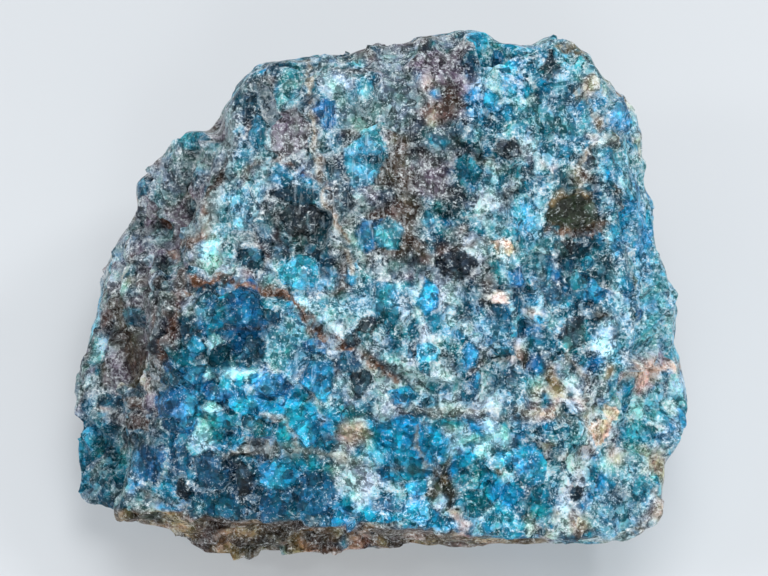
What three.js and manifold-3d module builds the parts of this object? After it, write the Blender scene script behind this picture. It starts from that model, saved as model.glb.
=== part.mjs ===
// A rough lump of massive blue apatite, about 61 mm across, broken off on every side.
// It is one stone, so it is one solid. It lies on its flattest break, and its largest break slopes up
// and back from the front edge. Blocks of the stone, each bounded by flat breaks, meet in ledges and
// ridges, and grains stand out of the breaks or have dropped out of them.
// Units are millimetres and degrees. +Z is up, and the large sloping break faces -Y.
import * as THREE from "three";
import { ConvexGeometry } from "three/addons/geometries/ConvexGeometry.js";
import { mergeVertices } from "three/addons/utils/BufferGeometryUtils.js";
import Module from "manifold-3d";

// Driving dimensions
const SLOPE = 35; // how steeply the large break rises from the ground
const BREAK_OUT = 14; // from the heart of the stone out to the large break
const REST_BELOW = 14.7; // from the heart down to the break that the stone lies on
const REST_MARGIN = 2.5; // height above the rest face that the grains keep clear of
const REST_CENTRE = 7; // radius in the middle of the rest face that stays free of pits
const EDGE_MARGIN = 1.4; // how far a grain's middle keeps from the edges of its break
const GRAIN_SITES = 620; // directions from the heart that are tried for a grain or a pit
const GRAIN_RADIUS = [1.7, 3.6]; // smallest and largest
const GRAIN_FLATNESS = 0.36; // a grain's thickness against its width
const GRAIN_RISE = [0.3, 0.65]; // how far a grain stands out of its break
const PIT_DEPTH = [0.3, 0.8]; // how deep a grain has dropped out
const GRAIN_TILT = 24; // largest tilt of a grain against its break
const GRAIN_SEED = 20; // gives one body with no tunnel under a grain
const PITS_AMONG_GRAINS = 0.25; // share of the sites where a grain has dropped out
const SURFACE_PER_SITE = 1300; // area in square mm per unit of direction at which a site is always kept
const CRYSTAL_ROOT = 1.5; // how far a single crystal runs on into the stone
const CRYSTAL_FLARE = 0.4; // how much wider it is at its root
const RIFT = { tip: -0.6, base: 1.6, width: 2.6 }; // what is cut out along each rift
const THIN_RIDGE = { tip: 0.5, base: -0.5, width: 1.6 }; // what is added along the thin ridge

const wasm = await Module();
wasm.setup();

const radians = THREE.MathUtils.degToRad;
const { lerp } = THREE.MathUtils;

// The large break's own frame, from the heart of the stone: across it, up its slope, and out of it.
const ACROSS = new THREE.Vector3(1, 0, 0);
const UP_SLOPE = new THREE.Vector3(0, Math.cos(radians(SLOPE)), Math.sin(radians(SLOPE)));
const OUT = new THREE.Vector3(0, -Math.sin(radians(SLOPE)), Math.cos(radians(SLOPE)));

const fromSlope = (across, up, out) =>
  new THREE.Vector3()
    .addScaledVector(ACROSS, across)
    .addScaledVector(UP_SLOPE, up)
    .addScaledVector(OUT, out);

// A break is a plane that bounds a block: the way it faces, and its distance from the heart.
// Seen on the slope, turn is the way it faces round the slope (0 is +X, 90 is up the slope), and lean
// is how far it faces out of the slope.
function slopeBreak(turn, lean, distance) {
  const t = radians(turn);
  const l = radians(lean);
  const normal = fromSlope(Math.cos(t) * Math.cos(l), Math.sin(t) * Math.cos(l), Math.sin(l));
  return { normal, distance };
}

// Seen over the ground, bearing turns from +X towards +Y, and height is the angle above level.
function groundBreak(bearing, height, distance) {
  const b = radians(bearing);
  const h = radians(height);
  const normal = new THREE.Vector3(Math.cos(b) * Math.cos(h), Math.sin(b) * Math.cos(h), Math.sin(h));
  return { normal, distance };
}

// The break that the stone lies on.
const restBreak = groundBreak(0, -90, REST_BELOW);

// The breaks all round, which no block of the stone passes.
const outerBreaks = [
  restBreak,
  slopeBreak(270, 0, 24.9),
  slopeBreak(249, 2, 29.4),
  slopeBreak(206, 4, 34.8),
  slopeBreak(182, 3, 31.3),
  slopeBreak(167, 2, 28.4),
  slopeBreak(157, 3, 27.2),
  slopeBreak(117, 3, 25.6),
  slopeBreak(98, 4, 25.1),
  slopeBreak(87, 3, 26.7),
  slopeBreak(49, 4, 31.0),
  slopeBreak(37, 4, 31.0),
  slopeBreak(12, 2, 28.2),
  slopeBreak(4, 3, 28.8),
  slopeBreak(349, 3, 31.0),
  slopeBreak(307, 2, 33.6),
  groundBreak(90, 10, 24.0),
  groundBreak(130, -12, 29.0),
  groundBreak(48, 4, 29.0),
  groundBreak(270, -48, 22.8),
  groundBreak(180, -40, 28.2),
  groundBreak(350, -38, 27.8),
  groundBreak(90, -40, 23.0),
  slopeBreak(132, -12, 24.9),
  groundBreak(190, -70, 20.2),
  groundBreak(20, -72, 20.4),
  groundBreak(100, -75, 17.8),
  groundBreak(280, -74, 17.4),
  groundBreak(235, -68, 20.0),
  groundBreak(330, -66, 21.8),
];

// Where the stone turns under at the front, and its lower right corner.
const frontFoot = slopeBreak(264, 13, 24.7);
const lowerRight = slopeBreak(335, 45, 25.6);

// The blocks that meet on the front of the stone.
const blocks = {
  middle: [
    slopeBreak(80, 87, BREAK_OUT),
    slopeBreak(170, 72, 15.6),
    slopeBreak(166, 5, 20.4),
    slopeBreak(130, 4, 24.9),
    slopeBreak(92, 45, 24.0),
    slopeBreak(8, 25, 26.7),
    lowerRight,
    frontFoot,
  ],
  leftFlank: [
    slopeBreak(0, 90, 8.5),
    slopeBreak(0, 0, 5),
    slopeBreak(170, 50, 17.4),
    slopeBreak(142, 4, 26.3),
    slopeBreak(114, 6, 23.2),
    slopeBreak(205, 50, 23.0),
    slopeBreak(245, 35, 26.1),
  ],
  lowerBulge: [
    slopeBreak(235, 80, 16.7),
    slopeBreak(57, 58, 9.2),
    slopeBreak(110, 35, 13.2),
    slopeBreak(180, 25, 24.4),
    slopeBreak(224, 30, 28.9),
    frontFoot,
  ],
  lowerBand: [
    slopeBreak(268, 74, 18.2),
    slopeBreak(92, 62, 8.4),
    slopeBreak(185, 30, 20.2),
    lowerRight,
    frontFoot,
  ],
};

// A closed geometry as a solid that can be joined and cut.
function solidOf(geometry) {
  geometry.deleteAttribute("normal");
  geometry.deleteAttribute("uv");
  const merged = mergeVertices(geometry, 1e-4);
  const vertProperties = new Float32Array(merged.getAttribute("position").array);
  const triVerts = new Uint32Array(merged.index.array);
  return new wasm.Manifold(new wasm.Mesh({ numProp: 3, vertProperties, triVerts }));
}

// The point where three breaks meet, or null where two of them run side by side.
function meetingPoint(a, b, c) {
  const rows = new THREE.Matrix3().set(...a.normal, ...b.normal, ...c.normal);
  if (Math.abs(rows.determinant()) < 1e-4) return null;
  return new THREE.Vector3(a.distance, b.distance, c.distance).applyMatrix3(rows.invert());
}

// A block is the convex solid between its own breaks and the outer ones.
function blockSolid(ownBreaks) {
  const breaks = [...outerBreaks, ...ownBreaks];
  const corners = [];
  for (let i = 0; i < breaks.length; i += 1) {
    for (let j = i + 1; j < breaks.length; j += 1) {
      for (let k = j + 1; k < breaks.length; k += 1) {
        const point = meetingPoint(breaks[i], breaks[j], breaks[k]);
        if (point && breaks.every((face) => face.normal.dot(point) < face.distance + 1e-6)) {
          corners.push(point);
        }
      }
    }
  }
  return solidOf(new ConvexGeometry(corners));
}

// The first of a set of breaks that is met along a direction from the heart, and how far away it is.
function firstOf(breaks, direction) {
  let first = { face: null, reach: Infinity };
  for (const face of breaks) {
    const facing = face.normal.dot(direction);
    if (facing > 1e-6 && face.distance / facing < first.reach) {
      first = { face, reach: face.distance / facing };
    }
  }
  return first;
}

// The stone's surface along a direction: the furthest that a block reaches. The breaks beside the one
// that is met there are the rest of that block's.
function surfaceAlong(direction) {
  const meetings = Object.values(blocks).map((ownBreaks) => {
    const breaks = [...outerBreaks, ...ownBreaks];
    const met = firstOf(breaks, direction);
    return { ...met, beside: breaks.filter((face) => face !== met.face) };
  });
  return meetings.reduce((a, b) => (b.reach > a.reach ? b : a));
}

// Repeatable random numbers from 0 to 1.
function randomFrom(seed) {
  let state = seed;
  return () => {
    state = (state * 1664525 + 1013904223) % 4294967296;
    return state / 4294967296;
  };
}

// How far out of the slope the surface lies at a place on it.
function outAt(across, up) {
  const place = fromSlope(across, up, 0);
  const heights = Object.values(blocks).map((breaks) => {
    const facing = breaks.filter((face) => face.normal.dot(OUT) > 0.2);
    return Math.min(...facing.map((face) => (face.distance - face.normal.dot(place)) / face.normal.dot(OUT)));
  });
  return Math.max(...heights);
}

const onSlope = (across, up, raised = 0) => fromSlope(across, up, outAt(across, up) + raised);

// Places a geometry at a point of the surface: its +Y goes out of the break, and its +Z up the slope
// as far as it can.
function placeOn(geometry, facing, point) {
  const side = new THREE.Vector3().crossVectors(facing, UP_SLOPE).normalize();
  const along = new THREE.Vector3().crossVectors(side, facing);
  geometry.applyMatrix4(new THREE.Matrix4().makeBasis(side, facing, along).setPosition(point));
  return solidOf(geometry);
}

// A grain is a flattened body of 20 flat faces, turned and tilted, with its middle below the surface.
function grainSolid({ point, facing, radius, long, middle, tilt, spin }) {
  const geometry = new THREE.IcosahedronGeometry(radius, 0);
  geometry.rotateX(spin);
  geometry.rotateY(spin);
  geometry.scale(1, GRAIN_FLATNESS, long);
  geometry.rotateX(tilt.x);
  geometry.rotateZ(tilt.z);
  geometry.translate(0, middle, 0);
  return placeOn(geometry, facing, point);
}

// Grains that stand out, and pits where grains have dropped out, spread evenly over the stone.
function grainsAndPits() {
  const random = randomFrom(GRAIN_SEED);
  const between = ([low, high], t = random()) => lerp(low, high, t);
  const tilt = radians(GRAIN_TILT);
  const grains = [];
  const pits = [];
  for (let i = 0; i < GRAIN_SITES; i += 1) {
    // The directions wind round the heart from top to bottom, each a golden angle on from the last.
    const height = 1 - (2 * i + 1) / GRAIN_SITES;
    const turn = i * Math.PI * (3 - Math.sqrt(5)) + 0.1 * random();
    const level = Math.sqrt(1 - height * height);
    const direction = new THREE.Vector3(level * Math.cos(turn), level * Math.sin(turn), height);
    const { face, reach, beside } = surfaceAlong(direction);
    // A direction that covers more of the surface keeps its grain more often.
    const covered = reach ** 2 / face.normal.dot(direction);
    const kept = random() * SURFACE_PER_SITE < covered;
    const point = direction.multiplyScalar(reach);
    const dropped = random() < PITS_AMONG_GRAINS;
    const room = Math.min(...beside.map((other) => other.distance - other.normal.dot(point)));
    const low = point.z < REST_MARGIN - REST_BELOW;
    const placed = dropped
      ? face !== restBreak || Math.hypot(point.x, point.y) > REST_CENTRE
      : !low && room > EDGE_MARGIN;
    if (!kept || !placed) continue;
    // Small grains are commoner than large ones.
    const radius = between(GRAIN_RADIUS, random() ** 1.6);
    const thickness = radius * GRAIN_FLATNESS;
    const site = {
      point,
      facing: face.normal,
      radius,
      long: lerp(0.9, 1.6, random()),
      middle: dropped ? thickness - between(PIT_DEPTH) : between(GRAIN_RISE) - thickness,
      tilt: { x: lerp(-tilt, tilt, random()), z: lerp(-tilt, tilt, random()) },
      spin: random() * Math.PI,
    };
    (dropped ? pits : grains).push(grainSolid(site));
  }
  return { grains, pits };
}

// Single crystals on the front with flat tops: across and up the slope, radius, how long against its
// width, how far it stands out (or in, below zero), and its number of sides.
const crystals = [
  { across: -14.0, up: -3.0, radius: 4.3, long: 0.95, rise: 0.45, sides: 6 },
  { across: -0.5, up: 0.0, radius: 1.4, long: 2.1, rise: 0.3, sides: 6 },
  { across: 18.6, up: 8.5, radius: 2.6, long: 1.15, rise: 0.35, sides: 7 },
  { across: -7.5, up: 19.0, radius: 2.2, long: 1.3, rise: 0.4, sides: 5 },
  { across: 6.0, up: -12.8, radius: 1.9, long: 1.1, rise: 0.5, sides: 5 },
  { across: 15.0, up: -17.5, radius: 1.6, long: 1.7, rise: 0.5, sides: 5 },
  { across: -19.0, up: -9.5, radius: 2.3, long: 1.2, rise: 0.4, sides: 6 },
  { across: -16.6, up: -15.5, radius: 2.2, long: 1.1, rise: 0.4, sides: 5 },
  { across: -8.3, up: 3.5, radius: 1.8, long: 1.2, rise: 0.4, sides: 5 },
  { across: 19.0, up: -3.2, radius: 1.3, long: 1.0, rise: -0.4, sides: 5 },
  { across: -2.0, up: -3.4, radius: 1.3, long: 1.0, rise: -0.4, sides: 5 },
];

function crystalSolid({ across, up, radius, long, rise, sides }) {
  const way = Math.sign(rise);
  const length = Math.abs(rise) + CRYSTAL_ROOT;
  const geometry = new THREE.CylinderGeometry(radius, radius + way * CRYSTAL_FLARE, length, sides);
  geometry.translate(0, rise - (way * length) / 2, 0);
  geometry.rotateY(across);
  geometry.scale(1, 1, long);
  return placeOn(geometry, fromSlope(0, 0, 1), onSlope(across, up));
}

// Three-sided bars from each point of a line on the front to the next, with one edge at the height of
// the tip and the flat side opposite, at the height of the base, both from the surface.
function barsAlong(points, { tip, base, width }) {
  const bars = points.slice(1).map((end, i) => {
    const run = new THREE.Vector3().subVectors(onSlope(...end), onSlope(...points[i]));
    const aside = new THREE.Vector3().crossVectors(run, OUT).setLength(width / 2);
    const corners = [points[i], end].flatMap((place) => [
      onSlope(...place, tip),
      onSlope(...place, base).add(aside),
      onSlope(...place, base).sub(aside),
    ]);
    return solidOf(new ConvexGeometry(corners));
  });
  return bars.reduce((a, b) => a.add(b));
}

// Rifts above the vein, along the two ledges and down the lower right, as points across and up.
const rifts = [
  [[-13.2, 2.2], [-9.0, 0.6], [-5.2, -3.0], [-3.0, -4.8], [0.2, -7.2], [3.4, -9.0]],
  [[3.4, -9.8], [8.0, -10.6], [14.0, -10.8], [20.0, -11.0]],
  [[-14.4, -14.4], [-9.0, -15.0], [-4.0, -14.9]],
  [[18.6, -19.3], [18.4, -22.4]],
];

// The thin ridge left of the middle of the large break.
const thinRidge = [[-7.2, 22.0], [-7.0, 20.2], [-6.6, 13.5], [-5.8, 10.6], [-3.8, 6.3]];

function apatite() {
  const { grains, pits } = grainsAndPits();
  const raised = crystals.filter((crystal) => crystal.rise > 0).map(crystalSolid);
  const sunk = crystals.filter((crystal) => crystal.rise < 0).map(crystalSolid);
  const below = new THREE.BoxGeometry(100, 100, 10).translate(0, 0, -REST_BELOW - 5);
  const riftCuts = rifts.map((points) => barsAlong(points, RIFT));
  const join = (a, b) => a.add(b);
  const cut = (a, b) => a.subtract(b);
  let stone = Object.values(blocks).map(blockSolid).reduce(join);
  stone = [...grains, ...raised, barsAlong(thinRidge, THIN_RIDGE)].reduce(join, stone);
  stone = [...pits, ...sunk, ...riftCuts, solidOf(below)].reduce(cut, stone);
  const mesh = stone.getMesh();
  const geometry = new THREE.BufferGeometry();
  geometry.setAttribute("position", new THREE.BufferAttribute(mesh.vertProperties, 3));
  geometry.setIndex(new THREE.BufferAttribute(mesh.triVerts, 1));
  // The origin is under the middle of the stone, on the surface that it lies on.
  geometry.computeBoundingBox();
  const { min, max } = geometry.boundingBox;
  geometry.translate(-(min.x + max.x) / 2, -(min.y + max.y) / 2, -min.z);
  geometry.computeVertexNormals();
  return geometry;
}

const finish = new THREE.MeshStandardMaterial({ color: "#3f7f97", roughness: 0.45, metalness: 0 });
const stone = new THREE.Mesh(apatite(), finish);
stone.name = "apatite_stone";

const part = new THREE.Group();
part.add(stone);

export default part;
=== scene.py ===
# %% [markdown]
# A rough lump of massive blue apatite. It is one natural stone: clear blue and teal grains grown
# into a paler granular mass, with films of frost-like fragments between them, a rusty vein, and brown
# weathered faces at its foot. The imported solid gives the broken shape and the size. This script makes
# the fine broken surface and the colours from it, and lights it on a pale table. Blender's places are
# in metres in the solid's frame, and the lists below are in millimetres.

# %% Load the frame
from math import cos, pi, radians, sin

import bmesh
import bpy
import numpy as np
from mathutils import Matrix, Vector


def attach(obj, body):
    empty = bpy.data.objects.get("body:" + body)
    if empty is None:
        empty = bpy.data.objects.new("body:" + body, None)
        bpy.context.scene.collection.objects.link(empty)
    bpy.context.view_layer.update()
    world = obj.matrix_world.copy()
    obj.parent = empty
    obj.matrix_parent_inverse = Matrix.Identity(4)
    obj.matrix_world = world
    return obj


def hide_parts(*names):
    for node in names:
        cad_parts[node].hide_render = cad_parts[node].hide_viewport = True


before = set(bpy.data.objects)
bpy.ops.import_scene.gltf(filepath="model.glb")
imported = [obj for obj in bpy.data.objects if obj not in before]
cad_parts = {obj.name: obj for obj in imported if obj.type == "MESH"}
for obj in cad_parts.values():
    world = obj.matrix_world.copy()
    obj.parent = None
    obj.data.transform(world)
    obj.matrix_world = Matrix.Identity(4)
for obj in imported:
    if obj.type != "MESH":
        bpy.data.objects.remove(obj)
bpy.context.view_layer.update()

MM = 0.001
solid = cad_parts["apatite_stone"]

# %% [markdown]
# The stone is seen from above and in front, square onto its largest break, which slopes up at 35
# degrees. A close-up could be taken with a wide lens from very near, but that would blow up the near
# grains, so the camera stands a forearm's length away with a longer lens. The heart is the point of
# the stone that the breaks are measured from. The same slope gives the directions for the finishes
# later: across, up the slope and out of it.

# %% The slope and the camera
SLOPE = radians(35)
HEART = Vector((0.78, 1.76, 14.70)) * MM
CAMERA_AWAY = 340 * MM
SEEN_WIDE = 76.8 * MM
HEART_BELOW_MIDDLE = 1.2 * MM
up_slope = Vector((0, cos(SLOPE), sin(SLOPE)))
out_of_slope = Vector((0, -sin(SLOPE), cos(SLOPE)))

camera = bpy.data.objects.new("camera", bpy.data.cameras.new("camera"))
bpy.context.scene.collection.objects.link(camera)
bpy.context.scene.camera = camera
camera.location = HEART + out_of_slope * CAMERA_AWAY + up_slope * HEART_BELOW_MIDDLE
camera.rotation_euler = (SLOPE, 0, 0)
camera.data.sensor_width = 36
camera.data.lens = camera.data.sensor_width * CAMERA_AWAY / SEEN_WIDE
camera.data.clip_start = 10 * MM
camera.data.clip_end = 5
print("lens", round(camera.data.lens, 1), "mm")

# %% [markdown]
# A broken surface has far more facets than the solid, and they need even, small faces to form in.
# Subdividing the solid would keep its long thin triangles, so a copy is remeshed on an even grid and
# softened to lose the grid's steps. Faces towards the camera are split once more, so that the grains
# there get crisp edges, and the whole stays light enough to handle.

# %% An even mesh of the stone
SAME_POINT = 0.002 * MM
REMESH_STEP = 0.53 * MM
FINE_SIDE = 0.30  # faces turned out of the slope by more than this are split again

def apply_modifiers(obj):
    """Gives an object the mesh that its modifiers make, and takes them off."""
    finished = obj.evaluated_get(bpy.context.evaluated_depsgraph_get())
    mesh = bpy.data.meshes.new_from_object(finished)
    obj.modifiers.clear()
    obj.data = mesh

def soften(body):
    """Moves every point halfway to the middle of its neighbours."""
    axes = {"use_axis_x": True, "use_axis_y": True, "use_axis_z": True}
    bmesh.ops.smooth_vert(body, verts=body.verts, factor=0.5, **axes)

body = bmesh.new()
body.from_mesh(solid.data)
bmesh.ops.remove_doubles(body, verts=body.verts, dist=SAME_POINT)
stone = bpy.data.objects.new("apatite_mass", bpy.data.meshes.new("apatite_mass"))
bpy.context.scene.collection.objects.link(stone)
body.to_mesh(stone.data)
body.free()
remesh = stone.modifiers.new("even grid", "REMESH")
remesh.mode = "VOXEL"
remesh.voxel_size = REMESH_STEP
apply_modifiers(stone)

body = bmesh.new()
body.from_mesh(stone.data)
soften(body)
body.normal_update()
near = [face for face in body.faces if face.normal.dot(out_of_slope) > FINE_SIDE]
edges = list({edge for face in near for edge in face.edges})
bmesh.ops.subdivide_edges(body, edges=edges, cuts=1, use_grid_fill=True)
bmesh.ops.triangulate(body, faces=body.faces)
soften(body)
body.to_mesh(stone.data)
body.free()
count = len(stone.data.vertices)
print("even mesh of", len(stone.data.polygons), "triangles and", count, "points")

# %% [markdown]
# The finishes are placed as they are seen from the camera: how far to the right of the heart and how
# far above it, in millimetres. A point that stands out of the slope is nearer to the camera and is
# seen a little further from the heart, which the last function allows for. A picture laid over the
# stone could place the finishes too, but measured places stay the same whatever the mesh is.

# %% Places as the camera sees them
def point_values(name, width):
    """The values of a point attribute of the stone, one row a point."""
    values = np.zeros(count * width, np.float32)
    field = "value" if width == 1 else "vector"
    stone.data.attributes[name].data.foreach_get(field, values)
    return values.reshape(-1, width)

def slope_places(points):
    """Places in metres as mm across the slope, up it and out of it, from the heart."""
    from_heart = (points - np.array(HEART)) / MM
    up = from_heart @ np.array(up_slope)
    out = from_heart @ np.array(out_of_slope)
    return np.stack([from_heart[:, 0], up, out], 1)

def seen_places(places):
    """Places in the slope's mm as mm to the right of the heart and above it in the picture."""
    away = CAMERA_AWAY / MM
    return places[:, :2] * (away / (away - places[:, 2:3]))

points = point_values("position", 3)
places = slope_places(points)
seen = seen_places(places)
print("seen from", seen.min(0).round(1), "to", seen.max(0).round(1), "mm")

# %% [markdown]
# Knobs and hollows a millimetre high give the outline its character, and the solid is too plain for
# them. Each direction from the heart, in degrees from the right, has a distance in mm by which the
# rim swells or draws in. Sculpting them by hand would do it too, but a list is easy to change. Points
# near the rim move by it, level with the table, so that the flat break that the stone rests on stays
# where it is.

# %% Knobs and hollows of the outline
KNOBS = [
    (0, 0.2), (10, -0.7), (20, -0.2), (30, -0.3), (40, 0.4), (45, -0.6), (50, 0.9), (55, 0.5),
    (60, -0.9), (65, -0.8), (70, 0.3), (80, 0.4), (95, -0.3), (100, -0.8), (105, -0.1), (110, -0.4),
    (115, 0.4), (120, 1.0), (125, 0.6), (130, 0.1), (135, -1.0), (140, 0.0), (150, -0.4), (155, 0.0),
    (160, -1.4), (165, -0.6), (175, -0.3), (185, -0.5), (195, 0.0), (200, 0.6), (205, 1.3), (210, 1.7),
    (215, 1.6), (220, 0.2), (225, 0.4), (230, 0.8), (235, 1.5), (240, 0.5), (250, -0.1), (260, -0.3),
    (270, -0.5), (277, -0.9), (285, -0.3), (295, -1.0), (305, -1.4), (310, -1.7), (315, -1.2), (320, -0.2),
    (330, -0.6), (335, 0.6), (345, 0.3), (350, -0.3), (360, 0.2),
]
RIM_STARTS = 0.80  # share of the way from the heart to the outline where the moving begins
RIM_FULL = 0.97  # and where it reaches its whole amount
SECTOR = 4  # degrees, in which the furthest point stands for the outline
FACING_LEAST = -0.1  # faces turned further from the camera than this are out of view
DEEPEST = -14  # mm out of the slope, below which points are out of view too
direction = np.degrees(np.arctan2(seen[:, 1], seen[:, 0])) % 360
reach = np.hypot(seen[:, 0], seen[:, 1])
furthest = np.zeros(360 // SECTOR)
np.maximum.at(furthest, (direction / SECTOR).astype(int), reach)
middles = np.arange(len(furthest)) * SECTOR + SECTOR / 2
at_rim = np.interp(direction, middles, furthest, period=360)
near_rim = np.clip((reach / at_rim - RIM_STARTS) / (RIM_FULL - RIM_STARTS), 0, 1)
swell = np.interp(direction, *zip(*KNOBS)) * near_rim**2 * MM
points[:, 0] += swell * np.cos(np.radians(direction))
points[:, 1] += swell * np.sin(np.radians(direction)) / cos(SLOPE)
stone.data.vertices.foreach_set("co", points.ravel())
stone.data.update()
places = slope_places(points)
seen = seen_places(places)
normals = np.zeros(count * 3, np.float32)
stone.data.vertex_normals.foreach_get("vector", normals)
facing = normals.reshape(-1, 3) @ np.array(out_of_slope)
in_view = (facing > FACING_LEAST) & (places[:, 2] > DEEPEST)
print("rim moved by", (swell.min() / MM).round(1), "to", (swell.max() / MM).round(1), "mm")
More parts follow.
